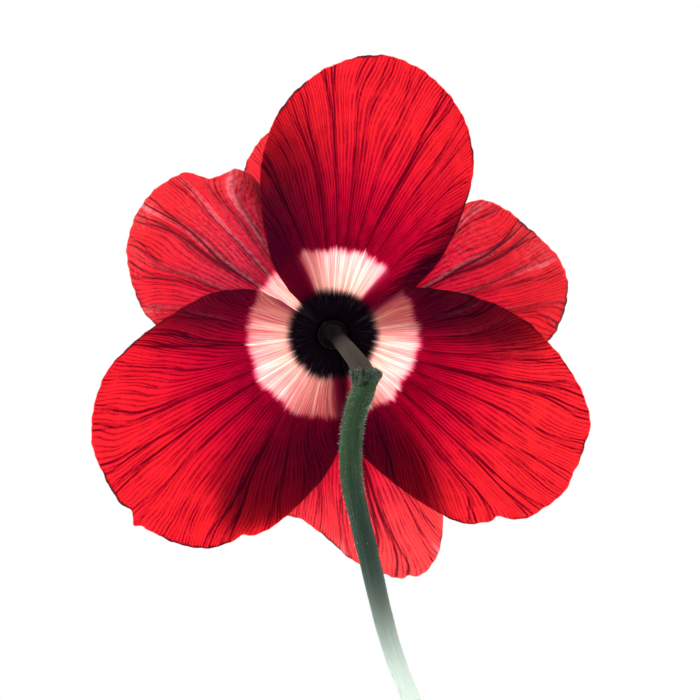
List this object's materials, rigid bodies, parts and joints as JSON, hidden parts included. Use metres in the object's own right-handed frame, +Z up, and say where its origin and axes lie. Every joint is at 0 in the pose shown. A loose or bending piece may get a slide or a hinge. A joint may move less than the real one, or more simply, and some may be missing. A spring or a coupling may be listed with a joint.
{
  "type": "anemone flower",
  "caption": "Cut red anemone flower lying face down: broad layered tepals with a pale ring and dark centre, stamens, pistil dome, and an arched stem with a trimmed leaf collar.",
  "frame": {"origin": "under the middle of the whole flower and stem, on the surface it lies on", "axes": "+Z up from the surface, out of the back of the flower; +Y from the cut end of the stem towards the flower's top tepal; +X to the right, seen from above"},
  "size_m": [0.08, 0.1246, 0.03],
  "materials": {
    "tepal": "soft satin petal, veined, lets light through",
    "stem": "matte, finely ridged and hairy",
    "collar": "matte, ragged and hairy",
    "pistil": "matte, woolly",
    "stamen": "matte, powdery tips"
  },
  "bodies": {
    "root": {"tepal_top": "tepal", "tepal_lower_right": "tepal", "tepal_lower_left": "tepal", "tepal_upper_left": "tepal", "tepal_upper_right": "tepal", "tepal_bottom": "tepal", "tepal_inner_small": "tepal", "stem": "stem", "leaf_collar": "collar", "pistil_cluster": "pistil", "stamen_1_01": "stamen", "stamen_1_02": "stamen", "stamen_1_03": "stamen", "stamen_1_04": "stamen", "stamen_1_05": "stamen", "stamen_1_06": "stamen", "stamen_1_07": "stamen", "stamen_1_08": "stamen", "stamen_1_09": "stamen", "stamen_1_10": "stamen", "stamen_1_11": "stamen", "stamen_1_12": "stamen", "stamen_1_13": "stamen", "stamen_1_14": "stamen", "stamen_1_15": "stamen", "stamen_1_16": "stamen", "stamen_1_17": "stamen", "stamen_1_18": "stamen", "stamen_1_19": "stamen", "stamen_1_20": "stamen", "stamen_1_21": "stamen", "stamen_1_22": "stamen", "stamen_1_23": "stamen", "stamen_1_24": "stamen", "stamen_2_01": "stamen", "stamen_2_02": "stamen", "stamen_2_03": "stamen", "stamen_2_04": "stamen", "stamen_2_05": "stamen", "stamen_2_06": "stamen", "stamen_2_07": "stamen", "stamen_2_08": "stamen", "stamen_2_09": "stamen", "stamen_2_10": "stamen", "stamen_2_11": "stamen", "stamen_2_12": "stamen", "stamen_2_13": "stamen", "stamen_2_14": "stamen", "stamen_2_15": "stamen", "stamen_2_16": "stamen"}
  },
  "joints": []
}
